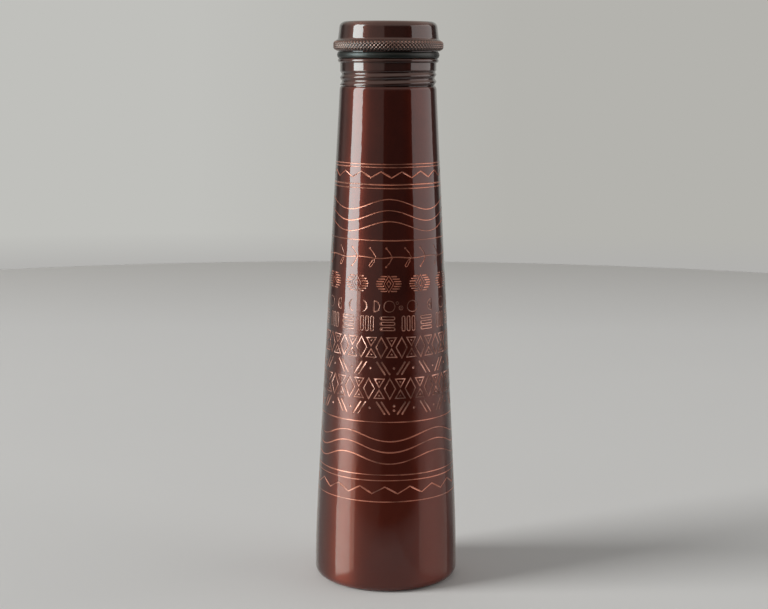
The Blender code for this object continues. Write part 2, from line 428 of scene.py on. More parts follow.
def wave_line(crest, trough, periods, crest_angle, width, wander=0.0):
    """A wave round the wall. wander moves its crests to and fro by hand, in degrees of the wave."""
    middle, swing = (crest + trough) / 2, (crest - trough) / 2

    def height_at(angle):
        drift = wander * math.sin(math.radians(2 * angle - 30))
        return middle + swing * math.cos(math.radians(periods * (angle - crest_angle) - drift))
    return running(height_at, width)


def zigzag_line(top, bottom, count, peak_angle):
    """A zigzag round the wall, its flanks cut wider on the way down than on the way up."""
    step = 180.0 / count
    middle = []
    index = math.ceil((-180 - OVERHANG - peak_angle) / step)
    scale = band_scale(top)
    while peak_angle + index * step < 180 + OVERHANG:
        height = top if index % 2 == 0 else bottom
        middle.append(((peak_angle + index * step) / scale, height))
        index += 1
    shapes = [solid(offset(middle, BOLD / 2, False) + offset(middle, -BOLD / 2, False)[::-1])]
    for start, end in zip(middle, middle[1:]):
        if start[1] > end[1]:
            run = (Vector(end) - Vector(start)) * 0.14
            bar = straight_bar(tuple(Vector(start) + run), tuple(Vector(end) - run), BOLD * 1.45)
            shapes.append(solid(bar))
    return redrawn(shapes, lambda x, y: (x * scale, y))


def ornament():
    """All bands, from the top down."""
    shapes = ring_line(219.4) + ring_line(217.9)
    shapes += zigzag_line(top=215.7, bottom=212.6, count=16, peak_angle=-7.2)
    shapes += ring_line(209.3, BOLD) + ring_line(207.4)
    for crest in (202.0, 196.4, 191.0):
        shapes += wave_line(crest, crest - 5.5, periods=4, crest_angle=1.5, width=LINE)
    shapes += ring_line(181.4)
    shapes += running(lambda angle: LEAF_ROW + 0.35 * math.sin(math.radians(10 * angle)), LINE)
    shapes += repeated(twig_leaves(False), LEAF_ROW, count=10, first=4.6)
    shapes += repeated(twig_leaves(True), LEAF_ROW, count=10, first=-12.0)
    shapes += repeated(medallion(), MEDALLION_ROW, count=11, first=1.5)
    for angle, phase in moon_phases():
        shapes += around(phase, MOON_ROW, angle)
    shapes += repeated(three_loops(True), LOOP_ROW, count=9, first=-19.4)
    shapes += repeated(three_loops(False), LOOP_ROW, count=9, first=0.3)
    for height, first in HOURGLASS_ROWS:
        shapes += repeated(hourglass(), height, HOURGLASSES, first)
        shapes += repeated(rhomb(), height, HOURGLASSES, first + 180 / HOURGLASSES)
    for height, dots in SLASH_ROWS:
        shapes += repeated(slashes(-1), height, count=9, first=-3.3)
        shapes += repeated(slashes(1), height, count=9, first=15.1)
        shapes += repeated(dot(dots), height, count=3, first=6.4)
        for first in (46.4, 86.4):
            shapes += repeated(dot(), height, count=3, first=first)
        shapes += repeated(dot(), height, count=9, first=-15.3)
    shapes += ring_line(89.3)
    for crest in (84.5, 78.9, 73.0):
        shapes += wave_line(
            crest, crest - 5.2, periods=5, crest_angle=41.3, width=BOLD * 0.9, wander=29.0,
        )
    shapes += ring_line(62.1) + ring_line(59.2)
    shapes += zigzag_line(top=55.9, bottom=52.3, count=17, peak_angle=-1.2)
    shapes += ring_line(48.2)
    return shapes


# ==== Meshes ====
# Outlines to be turned are points (radius, height).

def spaced(start, end, spacing):
    count = max(1, round(abs(end - start) / spacing))
    return [start + (end - start) * step / count for step in range(count + 1)]


def wall_line(start, end, spacing, inset=0.0):
    """The body's outline from one height to another, on its outside or inset from it."""
    return [(float(wall_radius(z)) - inset, z) for z in spaced(start, end, spacing)]


def on_wall(angle, height, radius):
    """A point at an angle in degrees, 0 facing the front."""
    turn = math.radians(angle)
    return (radius * math.sin(turn), -radius * math.cos(turn), height)


def new_object(name, data):
    """A new object in the scene."""
    made = bpy.data.objects.new(name, data)
    bpy.context.scene.collection.objects.link(made)
    return made


def new_piece(name, points, faces, materials, face_materials=None, sharp=35.0, groove_shade=None):
    """A mesh object from points and faces, its doubles merged and its normals outwards. Edges over the
    angle sharp, in degrees, are drawn sharp. groove_shade, if given, is a value for each point that the
    material reads as painted shade."""
    bm = bmesh.new()
    layer = bm.verts.layers.float.new("groove_shade") if groove_shade else None
    corners = [bm.verts.new(point) for point in points]
    if groove_shade:
        for corner, value in zip(corners, groove_shade):
            corner[layer] = value
    for index, face in enumerate(faces):
        made = bm.faces.new([corners[corner] for corner in face])
        if face_materials is not None:
            made.material_index = face_materials[index]
    bmesh.ops.remove_doubles(bm, verts=bm.verts, dist=0.002 * MM)
    bmesh.ops.recalc_face_normals(bm, faces=bm.faces)
    mesh = bpy.data.meshes.new(name)
    bm.to_mesh(mesh)
    bm.free()
    for finish in materials:
        mesh.materials.append(finish)
    mesh.shade_smooth()
    mesh.set_sharp_from_angle(angle=math.radians(sharp))
    return new_object(name, mesh)


def lathe(outline, columns, closed=True):
    """Points and faces of an outline spun about the axis, column by column. A closed outline is joined
    from its last point to its first; one that isn't begins and ends on the axis, or is a strip."""
    points = []
    for column in range(columns):
        angle = -180 + 360 * column / columns
        points += [on_wall(angle, height, radius) for radius, height in outline]
    rows = len(outline)
    faces = []
    for column in range(columns):
        here, there = column * rows, (column + 1) % columns * rows
        for row in range(rows if closed else rows - 1):
            below = (row + 1) % rows
            face = [here + row, here + below, there + below, there + row]
            if outline[below][0] == 0.0:
                face.remove(there + below)
            elif outline[row][0] == 0.0:
                face.remove(there + row)
            faces.append(face)
    return points, faces


def etched_zone(low, high):
    """The wall between two heights, cut along the ornament's outlines: the angles and the heights of
    its points, its triangles, and whether each of them is sunk."""
    reference = float(wall_radius((low + high) / 2)) / MM * math.pi / 180
    low_mm, high_mm = low / MM, high / MM
    coordinates, edges, outlines = [], [], []

    def add(points):
        start = len(coordinates)
        coordinates.extend(Vector((angle * reference, height)) for angle, height in points)
        return list(range(start, len(coordinates)))

    shapes = []
    for outline, hole in ornament():
        members = []
        for points in (outline, hole):
            if points is None:
                members.append(None)
                continue
            ring = points if signed_area(points) > 0 else points[::-1]
            members.append(len(outlines))
            outlines.append(add(ring))
        shapes.append(members)

    levels = spaced(low_mm, high_mm, WALL_STEP / MM)
    steps_over = math.ceil(OVERHANG / 360 * COLUMNS) + 1
    for column in range(-steps_over, COLUMNS + steps_over + 1):
        angle = -180 + 360 * column / COLUMNS
        indices = add([(angle, level) for level in levels])
        if column in (0, COLUMNS):
            edges += list(zip(indices, indices[1:]))
    found = delaunay_2d_cdt(coordinates, edges, outlines, 0, 1e-5, True)
    flat, triangles, covers = found[0], found[2], found[5]

    limit = 180 * reference
    kept, sunk = [], []
    for triangle, cover in zip(triangles, covers):
        middle = sum(flat[corner].x for corner in triangle) / 3
        if abs(middle) > limit:
            continue
        covered = set(cover)
        inside = any(a in covered and (b is None or b not in covered) for a, b in shapes)
        kept.append(tuple(triangle))
        sunk.append(inside)
    angles = [point.x / reference for point in flat]
    heights = [point.y * MM for point in flat]
    return angles, heights, kept, sunk


def etched_wall(low, high):
    """Points, faces and face materials (0 on the wall, 1 in the grooves) of the etched zone."""
    angles, heights, triangles, sunk = etched_zone(low, high)
    points, places = [], {}

    def corner(index, deep):
        key = (index, deep)
        if key not in places:
            height = heights[index]
            radius = float(wall_radius(height)) - (GROOVE_DEPTH if deep else 0.0)
            places[key] = len(points)
            points.append(on_wall(angles[index], height, radius))
        return places[key]

    faces, kinds, owner = [], [], {}
    for triangle, deep in zip(triangles, sunk):
        faces.append([corner(index, deep) for index in triangle])
        kinds.append(1 if deep else 0)
        for a, b in zip(triangle, triangle[1:] + triangle[:1]):
            owner[(a, b)] = deep
    for (a, b), deep in owner.items():
        if deep and owner.get((b, a)) is False:
            faces.append([corner(b, True), corner(a, True), corner(a, False), corner(b, False)])
            kinds.append(1)
    return points, faces, kinds


def outwardness(polygon):
    """How squarely a face looks away from the axis, from -1 to 1."""
    centre = polygon.center
    return (polygon.normal.x * centre.x + polygon.normal.y * centre.y) / math.hypot(centre.x, centre.y)


def smooth_wall_normals(piece):
    """Gives the wall the normals of the true cone, whatever its triangles, and rounds the groove floors
    up towards their banks."""
    mesh = piece.data
    normals = [Vector(corner.vector) for corner in mesh.corner_normals]
    banks = {}
    for polygon in mesh.polygons:
        if polygon.material_index == 1 and outwardness(polygon) < 0.5:
            for vertex in polygon.vertices:
                banks[vertex] = banks.get(vertex, Vector()) + polygon.normal
    top = SHOULDER_TOP - SHOULDER_ROUNDING
    for polygon in mesh.polygons:
        if outwardness(polygon) < 0.7 or not FOOT_CORNER < polygon.center.z < top:
            continue
        for loop in polygon.loop_indices:
            vertex = mesh.loops[loop].vertex_index
            point = mesh.vertices[vertex].co
            tilt = wall_tilt(point.z)
            around_axis = math.hypot(point.x, point.y)
            normals[loop] = Vector((
                point.x / around_axis * math.cos(tilt),
                point.y / around_axis * math.cos(tilt),
                math.sin(tilt),
            ))
            if polygon.material_index == 1 and vertex in banks:
                normals[loop] += banks[vertex].normalized() * GROOVE_ROUNDING
    mesh.normals_split_custom_set([normal.normalized() for normal in normals])


def body_shell(finishes):
    """The etched wall, and round it in one turned outline: foot, inside and rounded shoulder."""
    points, faces, kinds = etched_wall(ETCH_BOTTOM, ETCH_TOP)
    corner_centre = (FOOT_RADIUS - FOOT_CORNER, FOOT_CORNER)
    rounding_bottom = SHOULDER_TOP - SHOULDER_ROUNDING
    shoulder_width = float(wall_radius(rounding_bottom)) - SHOULDER_RADIUS
    edge = 0.25 * MM
    outline = wall_line(ETCH_BOTTOM, FOOT_CORNER, WALL_STEP)
    outline += arc(corner_centre, FOOT_CORNER, 0, -90, 14)[1:]
    outline += [(FOOT_RING_INNER + edge, 0.0)]
    outline += arc((FOOT_RING_INNER + edge, edge), edge, -90, -180, 3)[1:]
    outline += [(FOOT_RING_INNER, FOOT_LIP_HEIGHT), (FOOT_RING_INNER + SHEET, FOOT_LIP_HEIGHT)]
    inside_from = len(outline) - 2
    outline += [(FOOT_RING_INNER + SHEET, SHEET * 1.5)]
    outline += arc(corner_centre, FOOT_CORNER - SHEET, -90, 0, 8)
    outline += wall_line(FOOT_CORNER, CONE_TOP, 8 * MM, SHEET)[1:]
    inside_to = len(outline) - 1
    outline += [(SHOULDER_RADIUS - SHEET, SHOULDER_TOP)]
    stretch = SHOULDER_ROUNDING / shoulder_width
    outline += arc((SHOULDER_RADIUS, rounding_bottom), shoulder_width, 90, 0, 12, height=stretch)
    outline += wall_line(rounding_bottom, ETCH_TOP, WALL_STEP)[1:]
    more_points, more_faces = lathe(outline, COLUMNS, closed=False)
    start = len(points)
    rows = len(outline) - 1
    for index, face in enumerate(more_faces):
        faces.append([corner + start for corner in face])
        kinds.append(2 if inside_from <= index % rows < inside_to else 0)
    piece = new_piece("etched_body", points + more_points, faces, finishes, kinds)
    smooth_wall_normals(piece)
    return piece


def threaded(points, bottom, top, side, lead_in):
    """Presses the right-hand thread into turned points between two heights, as in the CAD. It stands
    out of the radius (side 1) or lies inside it (side -1), and fades in over lead_in from below."""
    pressed = []
    for x, y, z in points:
        if bottom <= z <= top:
            radius = math.hypot(x, y)
            turn = math.atan2(y, x) / math.tau
            wave = math.cos(math.tau * ((z - THREAD_CREST_HEIGHT) / THREAD_PITCH - turn))
            fade = min(1.0, (top - z) / THREAD_RUNOUT)
            if lead_in:
                fade = min(fade, (z - bottom) / lead_in)
            share = 1 + THREAD_DEPTH / 2 * (wave + side) * fade / radius
            x, y = x * share, y * share
        pressed.append((x, y, z))
    return pressed


def neck_collar(finishes):
    """Skirt, a fine ring at the shoulder, the rolled thread, the plain band and the rim bead."""
    bore = NECK_RADIUS - SHEET
    skirt_bottom = bottom_of("neck_collar")
    band_bottom = NECK_THREAD_TOP + 0.5 * MM
    thread_bottom = NECK_BOTTOM + 0.2 * MM
    rows = spaced(thread_bottom, NECK_THREAD_TOP, 0.15 * MM)
    edge = 0.4 * MM
    outline = [(SKIRT_RADIUS, skirt_bottom), (SKIRT_RADIUS, NECK_BOTTOM)]
    outline += [(NECK_RADIUS - 0.1 * MM, NECK_BOTTOM)]
    outline += [(NECK_RADIUS, z) for z in rows + [band_bottom, RIM_TOP - 2 * RIM_BEAD]]
    outline += arc((RIM_RADIUS - RIM_BEAD, RIM_TOP - RIM_BEAD), RIM_BEAD, -70, 90, 18)
    outline += arc((bore + edge, RIM_TOP - edge), edge, 90, 180, 5) + [(bore, band_bottom)]
    outline += [(NECK_RADIUS - NECK_WALL, z) for z in reversed(rows[1:])]
    outline += [(SKIRT_RADIUS - SHEET, NECK_BOTTOM), (SKIRT_RADIUS - SHEET, skirt_bottom)]
    points, faces = lathe(outline, FINE_COLUMNS)
    points = threaded(points, thread_bottom, NECK_THREAD_TOP, -1, 0.0)
    return new_piece("threaded_neck", points, faces, finishes)


def cap_plug_sleeve(finishes):
    """Threaded tube under a flange. The flange's edge and outside take the cap's dark lacquer as painted
    shade in the gap between the grip ring and the gasket.
    """
    inside = PLUG_RADIUS - SHEET
    edge = 0.4 * MM
    thread_bottom = PLUG_BOTTOM + edge
    flange_bottom = FLANGE_TOP - SHEET
    rows = spaced(thread_bottom, PLUG_THREAD_TOP, 0.2 * MM)
    outline = [(inside, PLUG_BOTTOM)] + arc((PLUG_RADIUS - edge, thread_bottom), edge, -90, 0, 4)
    outline += [(PLUG_RADIUS, z) for z in rows[1:]]
    outline += arc((PLUG_RADIUS + edge, flange_bottom - edge), edge, 180, 90, 4)
    outline += [(FLANGE_RADIUS, flange_bottom), (FLANGE_RADIUS, FLANGE_TOP)]
    flange_from = outline.index((FLANGE_RADIUS, flange_bottom)) - 1
    flange_to = len(outline)
    outline += [(inside, FLANGE_TOP)] + [(inside, z) for z in reversed(rows)]
    points, faces = lathe(outline, FINE_COLUMNS)
    points = threaded(points, thread_bottom, PLUG_THREAD_TOP, 1, THREAD_RUNOUT)
    # material 1, the cap's dark lacquer, on the flange is painted shade for the gap under the grip ring
    kinds = [int(flange_from <= face % len(outline) < flange_to) for face in range(len(faces))]
    return new_piece("plug_sleeve", points, faces, finishes, kinds)


def cap_plug_disc(finishes):
    """Slightly dished disc with a small pressed ring."""
    radius, top = radius_of("cap_plug_disc"), top_of("cap_plug_disc")
    edge = 0.3 * MM
    dish = top - PLUG_BOTTOM - SHEET
    pressed = ((0.0, 1.0), (0.5, 1.0), (0.53, 0.4), (0.57, 0.4), (0.6, 1.0), (0.8, 1.0))
    lower = [(radius * out, PLUG_BOTTOM + dish * up) for out, up in pressed]
    lower += arc((radius - edge, PLUG_BOTTOM + edge), edge, -90, 0, 4)
    upper = [(radius, PLUG_BOTTOM + SHEET), (radius * 0.8, top), (0.0, top)]
    points, faces = lathe(lower + upper, FINE_COLUMNS, closed=False)
    return new_piece("plug_disc", points, faces, finishes)


def base_disc(finishes):
    """Upturned pan with a domed plate, two pressed rings and a braze fillet along its rim."""
    rim = radius_of("base_disc")
    rim_bottom, plate, dome = bottom_of("base_disc"), 3.0 * MM, 1.2 * MM
    lower = []
    for radius in spaced(0.0, rim - 3 * SHEET, 0.4 * MM):
        share = radius / rim
        rings = math.exp(-((share - 0.55) / 0.02) ** 2) + math.exp(-((share - 0.82) / 0.02) ** 2)
        lower.append((radius, plate + dome * (1 - share ** 2) - 0.25 * MM * rings))
    fillet_centre = (rim - 3 * SHEET, plate - 2 * SHEET)
    lower += arc(fillet_centre, 2 * SHEET, 80, 0, 8)
    lip = arc((rim - SHEET / 2, rim_bottom + SHEET / 2), SHEET / 2, 180, 360, 10)
    upper = [(rim, plate), (rim - SHEET, plate + SHEET)]
    upper += [(rim * 0.5, plate + SHEET + dome * 0.75), (0.0, plate + SHEET + dome)]
    points, faces = lathe(lower + lip + upper, COLUMNS, closed=False)
    return new_piece("base_plate", points, faces, finishes)


def cap_shell(finishes):
    """Spun cup with a flat top, a rounded corner and a side that flares out to a hollow corner where
    it meets the grip ring."""
    corner = (CAP_RADIUS - CAP_FLARE - CAP_CORNER, CAP_TOP - CAP_CORNER)
    dip = 0.05 * MM
    edge = 0.2 * MM
    sink = 0.4 * MM
    centre = (CAP_RADIUS + edge + CAP_HOLLOW, KNURL_TOP - sink + CAP_HOLLOW)
    outline = [(corner[0] * share, CAP_TOP - dip * (1 - share)) for share in (0.0, 0.3, 0.6, 0.85)]
    outline += arc(corner, CAP_CORNER, 90, 0, 16) + arc(centre, CAP_HOLLOW, 180, 245, 8)
    outline += [(CAP_RADIUS, KNURL_TOP - 2 * sink), (CAP_RADIUS, CAP_BOTTOM + edge)]
    outline += [(CAP_RADIUS - edge, CAP_BOTTOM), (CAP_RADIUS - SHEET, CAP_BOTTOM)]
    outline += [(CAP_RADIUS - SHEET, CAP_TOP - 8 * MM)]
    outline += arc(corner, CAP_CORNER - SHEET, 0, 90, 8) + [(0.0, CAP_TOP - SHEET)]
    points, faces = lathe(outline, FINE_COLUMNS, closed=False)
    return new_piece("cap_cup", points, faces, finishes)


def knurl_section(share):
    """Radius, height and outward direction on the ring's rounded outside, share 0 at its lower edge."""
    rounding = (KNURL_TOP - KNURL_BOTTOM) / 2 - KNURL_HALF_FLAT
    quarter = math.pi / 2 * rounding * EDGE_LENGTH
    length = 2 * quarter + 2 * KNURL_HALF_FLAT
    walked = share * length
    if walked < quarter:
        turn, side, flat = (walked / quarter - 1) * math.pi / 2, -1, 0.0
    elif walked > length - quarter:
        turn, side, flat = (1 - (length - walked) / quarter) * math.pi / 2, 1, 0.0
    else:
        turn, side, flat = 0.0, 0, walked - length / 2
    middle = (KNURL_BOTTOM + KNURL_TOP) / 2
    outwards, upwards = max(0.0, math.cos(turn)), abs(math.sin(turn))
    height = middle + side * (KNURL_HALF_FLAT + rounding * upwards ** EDGE_POWER) + flat
    radius = KNURL_RADIUS - KNURL_ROUNDING * (1 - outwards ** EDGE_POWER)
    lean = side * KNURL_ROUNDING / rounding * upwards ** (2 - EDGE_POWER)
    return radius, height, Vector((outwards ** (2 - EDGE_POWER), lean)).normalized()


def cap_knurled_ring(finishes):
    """Rolled grip ring covered in small pillows, with two crossing sets of slanting grooves between."""
    bore = CAP_RADIUS + 0.3 * MM
    columns = KNURL_TEETH * KNURL_STEPS
    half_step = KNURL_STEPS // 2
    count = KNURL_ROWS * half_step
    section = [(bore, KNURL_BOTTOM), (KNURL_RADIUS - KNURL_ROUNDING, KNURL_BOTTOM)]
    shares = spaced(KNURL_LOW, KNURL_HIGH, (KNURL_HIGH - KNURL_LOW) / count)
    last = [(KNURL_RADIUS - KNURL_ROUNDING, KNURL_TOP), (bore, KNURL_TOP)]
    outside = [knurl_section(share) for share in shares]
    points, groove_shade = [], []
    for column in range(columns):
        angle = -180 + 360 * column / columns
        points += [on_wall(angle, height, radius) for radius, height in section]
        # painted shade: the ring's bottom and top faces and its bore get full shade and are drawn
        # near-black
        groove_shade += [1.0] * len(section)
        across = math.pi * column / KNURL_STEPS
        for row, (radius, height, out) in enumerate(outside):
            up = math.pi * row / KNURL_STEPS
            pillow = abs(math.cos(across + up) * math.cos(across - up))
            fade = min(1.0, row / half_step, (count - row) / half_step)
            cut = KNURL_DEPTH * (1 - pillow) * fade
            points.append(on_wall(angle, height - out.y * cut, radius - out.x * cut))
            # painted shade: 1 deep in a groove, 0 on a pillow's point
            groove_shade.append(1 - pillow)
        points += [on_wall(angle, height, radius) for radius, height in last]
        groove_shade += [1.0] * len(last)
    rows = len(section) + len(shares) + len(last)
    faces = []
    for column in range(columns):
        here, there = column * rows, (column + 1) % columns * rows
        for row in range(rows):
            after = (row + 1) % rows
            faces.append((here + row, there + row, there + after, here + after))
    return new_piece("knurled_ring", points, faces, finishes, sharp=50.0, groove_shade=groove_shade)


def cap_gasket(finishes):
    """Rubber ring that bulges between the rim and the cap, with a fine mould seam round it."""
    low, high = bottom_of("cap_gasket") - GASKET_SQUEEZE, top_of("cap_gasket") + GASKET_SQUEEZE
    inner = PLUG_RADIUS + THREAD_DEPTH + 0.1 * MM
    bulge, seam, steps = 0.95 * MM, 0.04 * MM, 20
    centre = (radius_of("cap_gasket") - bulge - seam, (low + high) / 2)
    flank = arc(centre, bulge, -90, 90, steps, height=(high - low) / 2 / bulge)
    flank[steps // 2] = (flank[steps // 2][0] + seam, flank[steps // 2][1])
    points, faces = lathe([(inner, low)] + flank + [(inner, high)], FINE_COLUMNS)
    return new_piece("gasket_ring", points, faces, finishes)


# ==== Materials ====

def linear(red, green, blue):
    """Scene-linear colour of an sRGB colour given from 0 to 255."""
    def channel(value):
        value /= 255
        return value / 12.92 if value <= 0.04045 else ((value + 0.055) / 1.055) ** 2.4
    return (channel(red), channel(green), channel(blue), 1.0)


class Nodes:
    """Short calls for building one node tree."""

    def __init__(self, tree):
        self.tree = tree

    def put(self, socket, value):
        """Links the value to the socket if it is another node's, and else sets it."""
        if isinstance(value, bpy.types.NodeSocket):
            self.tree.links.new(value, socket)
        else:
            socket.default_value = value

    def fill(self, node, **inputs):
        """Puts a value in each named input of the node."""
        for name, value in inputs.items():
            self.put(node.inputs[name.replace("_", " ")], value)

    def add(self, kind, **inputs):
        node = self.tree.nodes.new(kind)
        self.fill(node, **inputs)
        return node

    def math(self, operation, first, second):
        node = self.add("ShaderNodeMath")
        node.operation = operation
        self.put(node.inputs[0], first)
        self.put(node.inputs[1], second)
        return node.outputs[0]

    def mix(self, factor, first, second):
        node = self.add("ShaderNodeMix")
        node.data_type = "RGBA"
        self.fill(node, Factor=factor, A=first, B=second)
        return node.outputs["Result"]

    def ramp(self, value, low, high, to_low=0.0, to_high=1.0):
        """The value's range low to high mapped to another range, and held beyond it."""
        node = self.add("ShaderNodeMapRange", Value=value, From_Min=low, From_Max=high)
        self.fill(node, To_Min=to_low, To_Max=to_high)
        return node.outputs[0]

    def band(self, value, start, full, fade, end):
        """1 between full and fade, and 0 below start and above end."""
        return self.math("MULTIPLY", self.ramp(value, start, full), self.ramp(value, end, fade))

    def noise(self, scale, stretch=(1.0, 1.0, 1.0), detail=3.0, roughness=0.55):
        """Noise in the object's own space, scale per metre, stretched differently along each axis."""
        squeeze = self.add("ShaderNodeVectorMath")
        squeeze.operation = "MULTIPLY"
        self.put(squeeze.inputs[0], self.add("ShaderNodeTexCoord").outputs["Object"])
        self.put(squeeze.inputs[1], stretch)
        node = self.add("ShaderNodeTexNoise", Vector=squeeze.outputs[0], Scale=scale)
        self.fill(node, Detail=detail, Roughness=roughness)
        return node.outputs["Fac"]

    def split(self, coordinates):
        """X, Y and Z of a point's "Object" place in metres, or of the world's "Generated" direction."""
        place = self.add("ShaderNodeTexCoord").outputs[coordinates]
        return self.add("ShaderNodeSeparateXYZ", Vector=place).outputs

    def round_axis(self):
        """Tangent that runs round the bottle's axis, as brushed lines do."""
        node = self.add("ShaderNodeTangent")
        node.direction_type, node.axis = "RADIAL", "Z"
        return node.outputs[0]

    def bump(self, height, distance, strength=1.0, under=None):
        node = self.add("ShaderNodeBump", Height=height, Distance=distance, Strength=strength)
        if under is not None:
            self.put(node.inputs["Normal"], under)
        return node.outputs[0]


def new_material(name):
    made = bpy.data.materials.new(name)
    made.use_nodes = True
    return made, Nodes(made.node_tree), made.node_tree.nodes["Principled BSDF"]


DEEP_COPPER = (0.020, 0.004, 0.003, 1.0)
DARK_COPPER = (0.066, 0.012, 0.008, 1.0)
WARM_COPPER = (0.110, 0.020, 0.012, 1.0)
BROWN_COPPER = (0.044, 0.014, 0.011, 1.0)
TAN_COPPER = (0.082, 0.026, 0.019, 1.0)
SATIN_COPPER = (0.170, 0.036, 0.022, 1.0)
BRIGHT_COPPER = (0.68, 0.285, 0.195, 1.0)
ETCHED_COPPER = (0.48, 0.155, 0.095, 1.0)
BARE_COPPER = (0.82, 0.40, 0.28, 1.0)
DULL_COPPER = (0.66, 0.27, 0.175, 1.0)
PALE_BRIGHT = (0.68, 0.36, 0.28, 1.0)
PALE_ETCHED = (0.46, 0.20, 0.145, 1.0)
KNURL_COPPER = (0.36, 0.22, 0.18, 1.0)
KNURL_FLANK = (0.22, 0.115, 0.09, 1.0)
# near-black painted shade for the grip ring's grooves, bore and plain faces
KNURL_GROOVE_SHADE = (0.012, 0.006, 0.005, 1.0)
DARK_RUBBER = (0.003, 0.006, 0.005, 1.0)
PALE_RUBBER = (0.008, 0.012, 0.011, 1.0)
RUBBER_DUST = (0.035, 0.037, 0.034, 1.0)
BROWN_OXIDE = (0.12, 0.040, 0.024, 1.0)

TURNED = (0.05, 0.05, 1.0)         # stretches noise round the axis, as turning and brushing leave it
# Heights where a band begins, is full, begins to fade and ends
WORN_BAND = (62 * MM, 72 * MM, 127 * MM, 152 * MM)      # the lacquer is worn hazy
PALE_BAND = (90 * MM, 98 * MM, 152 * MM, 158 * MM)      # the etched copper is paler


def lacquered_copper(name, dark, warm, coat_index, satin_below=0.0):
    """Dark patinated copper in two tones, brushed round its axis, under clear gloss lacquer. If
    satin_below is given, it is rougher and brighter below that height and hazy in the worn band."""
    made, nodes, shader = new_material(name)
    cloud = nodes.noise(38.0, detail=5.0)
    mottle = nodes.noise(420.0, detail=4.0, roughness=0.65)
    brushed = nodes.noise(5200.0, TURNED, detail=4.0, roughness=0.7)
    broad = nodes.noise(900.0, TURNED, detail=2.0)
    tone = nodes.mix(nodes.ramp(cloud, 0.35, 0.68), dark, warm)
    tone = nodes.mix(nodes.ramp(mottle, 0.58, 0.8, 0.0, 0.45), tone, DEEP_COPPER)
    tone = nodes.mix(nodes.ramp(brushed, 0.3, 0.75, 0.0, 0.3), tone, warm)
    roughness = nodes.ramp(brushed, 0.25, 0.75, 0.44, 0.56)
    roughness = nodes.math("ADD", roughness, nodes.ramp(cloud, 0.3, 0.7, -0.02, 0.04))
    peel = nodes.bump(nodes.noise(260.0, detail=1.0), 0.05 * MM, 0.5)
    if satin_below:
        height = nodes.split("Object")["Z"]
        satin = nodes.ramp(height, satin_below, satin_below * 0.3)
        tone = nodes.mix(nodes.math("MULTIPLY", satin, 0.6), tone, SATIN_COPPER)
        roughness = nodes.math("ADD", roughness, nodes.math("MULTIPLY", satin, 0.06))
        haze = nodes.noise(3000.0, detail=2.0)
        peel = nodes.bump(haze, 0.05 * MM, nodes.band(height, *WORN_BAND), under=peel)
    lines = nodes.bump(brushed, 0.012 * MM, 0.6)
    nodes.fill(
        shader, Base_Color=tone, Roughness=roughness, Metallic=1.0,
        Normal=nodes.bump(broad, 0.05 * MM, 0.35, under=lines),
        Anisotropic=0.8, Anisotropic_Rotation=0.25, Tangent=nodes.round_axis(),
        Coat_Weight=1.0, Coat_Roughness=0.035, Coat_IOR=coat_index, Coat_Normal=peel,
    )
    return made


def etched_copper():
    """The bright, slightly rough metal that the etching laid bare, with some oxide left in it."""
    made, nodes, shader = new_material("etched_copper")
    grain = nodes.noise(3800.0, detail=3.0)
    patches = nodes.noise(65.0, detail=4.0)
    tone = nodes.mix(nodes.ramp(grain, 0.35, 0.7), ETCHED_COPPER, BRIGHT_COPPER)
    pale = nodes.mix(nodes.ramp(grain, 0.35, 0.7), PALE_ETCHED, PALE_BRIGHT)
    tone = nodes.mix(nodes.band(nodes.split("Object")["Z"], *PALE_BAND), tone, pale)
    tone = nodes.mix(nodes.ramp(patches, 0.46, 0.64, 0.0, 0.8), tone, BROWN_OXIDE)
    nodes.fill(
        shader, Base_Color=tone, Roughness=nodes.ramp(grain, 0.3, 0.7, 0.34, 0.5), Metallic=0.95,
        Normal=nodes.bump(grain, 0.03 * MM, 0.5), Coat_Weight=0.8, Coat_Roughness=0.16, Coat_IOR=1.5,
    )
    return made


def bare_copper():
    """Unlacquered metal inside, spun and slightly tarnished."""
    made, nodes, shader = new_material("bare_copper")
    cloud = nodes.noise(60.0, detail=5.0)
    turned = nodes.noise(2600.0, TURNED, detail=4.0, roughness=0.7)
    spots = nodes.noise(700.0, detail=3.0)
    tone = nodes.mix(nodes.ramp(cloud, 0.35, 0.7), BARE_COPPER, DULL_COPPER)
    tone = nodes.mix(nodes.ramp(spots, 0.62, 0.78, 0.0, 0.6), tone, BROWN_OXIDE)
    nodes.fill(
        shader, Base_Color=tone, Roughness=nodes.ramp(turned, 0.25, 0.75, 0.24, 0.42), Metallic=1.0,
        Normal=nodes.bump(turned, 0.02 * MM, 0.7),
    )
    return made


def knurled_copper():
    """The grip ring in two tones of worn copper, with near-black painted shade in the grooves between the
    points.
    """
    made, nodes, shader = new_material("knurled_copper")
    cloud = nodes.noise(120.0, detail=4.0)
    grain = nodes.noise(3000.0, detail=3.0)
    attribute = nodes.add("ShaderNodeAttribute")
    attribute.attribute_name = "groove_shade"
    depth = attribute.outputs["Fac"]
    worn = nodes.mix(nodes.ramp(cloud, 0.3, 0.7), KNURL_FLANK, KNURL_COPPER)
    worn = nodes.mix(nodes.ramp(grain, 0.45, 0.75, 0.0, 0.5), worn, KNURL_FLANK)
    # painted shade: the grooves and the ring's plain faces go near-black
    tone = nodes.mix(nodes.ramp(depth, 0.3, 0.7), worn, KNURL_GROOVE_SHADE)
    nodes.fill(
        shader, Base_Color=tone, Roughness=nodes.ramp(depth, 0.2, 0.9, 0.2, 0.6), Metallic=1.0,
        Normal=nodes.bump(grain, 0.01 * MM, 0.5), Coat_Weight=1.0, Coat_Roughness=0.07, Coat_IOR=1.5,
    )
    return made


